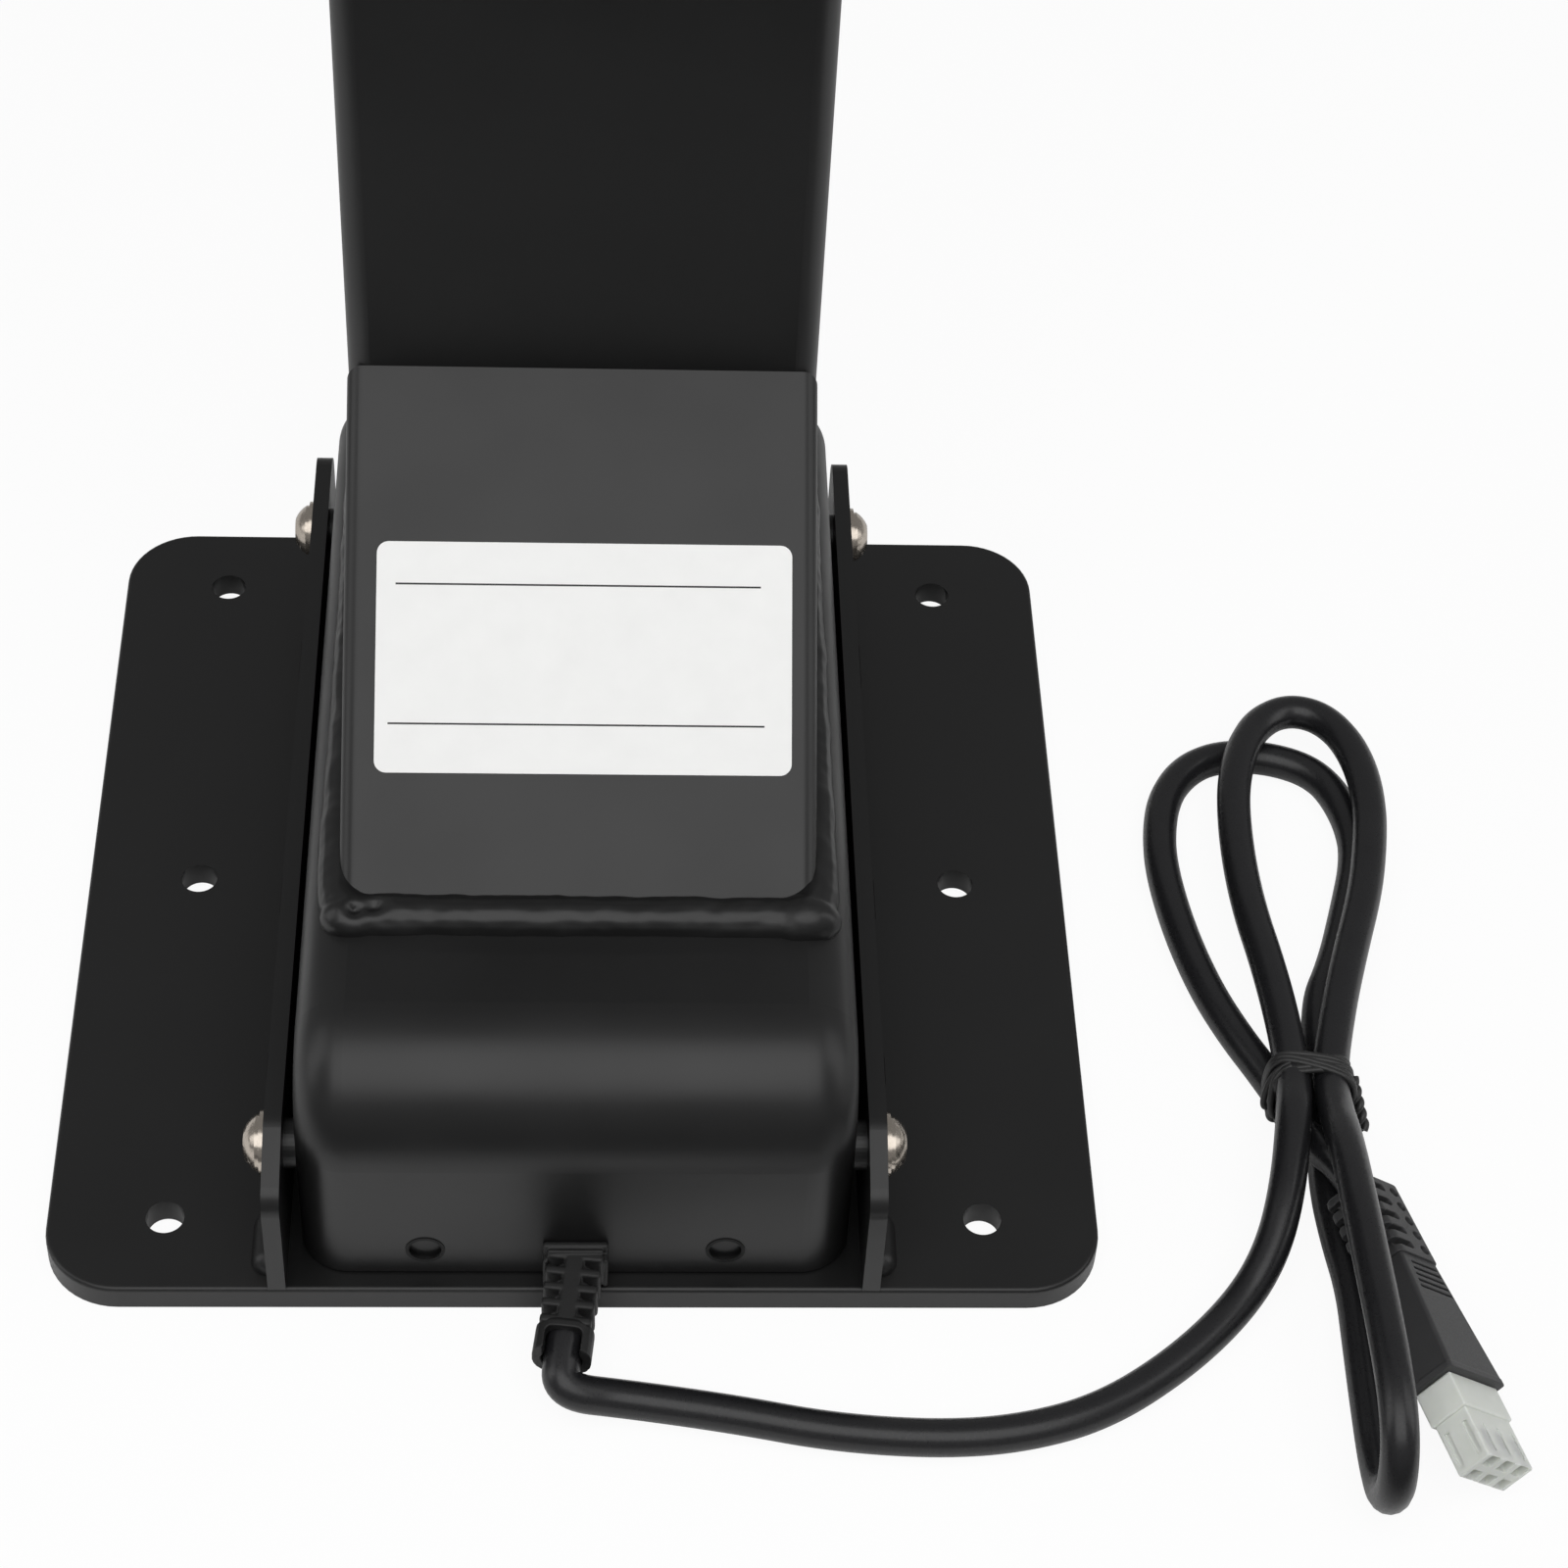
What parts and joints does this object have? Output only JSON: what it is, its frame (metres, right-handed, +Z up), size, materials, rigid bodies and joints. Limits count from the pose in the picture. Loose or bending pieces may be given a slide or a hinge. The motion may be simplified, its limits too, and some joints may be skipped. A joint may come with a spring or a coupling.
{
  "type": "electric tv lift",
  "caption": "Electric lifting column in three telescopic stages on a bolted steel base, with a screw drive, sloped brace, side plates, head plate and a tied cord with plug.",
  "frame": {"origin": "middle of the base plate's underside", "axes": "+Z up along the column's travel, +X to the right seen from the cable side, +Y from the cable side to the back"},
  "size_m": [0.2484, 0.232, 0.72],
  "materials": {
    "black_powder_coat": "satin black powder coat with a faint orange peel",
    "black_weld": "weld bead under the same powder coat",
    "dark_steel": "dull zinc plate",
    "nickel_screw": "nickel plated, turned",
    "zinc_steel": "zinc plated",
    "white_label": "matt white film",
    "black_plastic": "moulded, matt",
    "cast_zinc": "as cast",
    "bearing_steel": "ground",
    "black_soft_plastic": "matt soft plastic",
    "cord_sheath": "glossy extruded sheath",
    "milky_nylon": "translucent milky nylon",
    "glide_plastic": "slippery plastic",
    "bronze": "turned",
    "screw_steel": "rolled and oiled"
  },
  "bodies": {
    "base": {"base_plate": "black_powder_coat", "side_plate_left": "black_powder_coat", "side_plate_right": "black_powder_coat", "side_plate_welds": "black_weld", "drive_housing": "black_powder_coat", "housing_rivets": "dark_steel", "side_screws": "nickel_screw", "side_washers": "nickel_screw", "housing_nuts": "zinc_steel", "sloped_brace": "black_powder_coat", "brace_weld": "black_weld", "rating_label": "white_label", "outer_tube": "black_powder_coat", "outer_collar": "black_plastic", "gear_case": "cast_zinc", "gear_cover": "cast_zinc", "screw_bearings": "bearing_steel", "motor": "zinc_steel", "motor_cap": "black_plastic", "cable_boot": "black_soft_plastic", "cord_run": "cord_sheath", "cord_hank": "cord_sheath", "cord_tie": "black_soft_plastic", "plug_body": "black_soft_plastic", "plug_connector": "milky_nylon"},
    "middle_stage": {"middle_tube": "black_powder_coat", "middle_collar": "black_plastic", "middle_glides": "glide_plastic", "middle_foot": "cast_zinc", "lower_nut": "bronze", "upper_bearing": "bearing_steel"},
    "inner_stage": {"inner_tube": "black_powder_coat", "inner_glides": "glide_plastic", "inner_foot": "cast_zinc", "upper_nut": "bronze", "head_plate": "black_powder_coat", "head_weld": "black_weld"},
    "lower_screw": {"lower_screw": "screw_steel", "worm_wheel": "bronze"},
    "upper_screw": {"upper_screw": "screw_steel", "drive_sleeve": "bronze"},
    "worm": {"worm": "screw_steel"}
  },
  "joints": [
    {"name": "middle_slide", "type": "slide", "parent": "base", "child": "middle_stage", "axis": [0, 0, 1], "range_m": [0, 0.5]},
    {"name": "inner_slide", "type": "slide", "parent": "middle_stage", "child": "inner_stage", "axis": [0, 0, 1], "range_m": [0, 0.5]},
    {"name": "lower_screw_spin", "type": "hinge", "parent": "base", "child": "lower_screw", "pos_m": [0, 0.0495, 0.0245], "axis": [0, 0, 1], "continuous": true},
    {"name": "upper_screw_spin", "type": "hinge", "parent": "middle_stage", "child": "upper_screw", "pos_m": [0, 0.0495, 0.09], "axis": [0, 0, 1], "continuous": true},
    {"name": "worm_spin", "type": "hinge", "parent": "base", "child": "worm", "pos_m": [-0.0213, 0.0495, 0.0245], "axis": [0, 1, 0], "continuous": true}
  ],
  "couplings": [
    {"joint": "inner_slide", "follows": "middle_slide", "ratio": 1},
    {"joint": "lower_screw_spin", "follows": "middle_slide", "rad_per_m": 314.16},
    {"joint": "upper_screw_spin", "follows": "middle_slide", "rad_per_m": 314.16},
    {"joint": "worm_spin", "follows": "middle_slide", "rad_per_m": 4712.4}
  ]
}
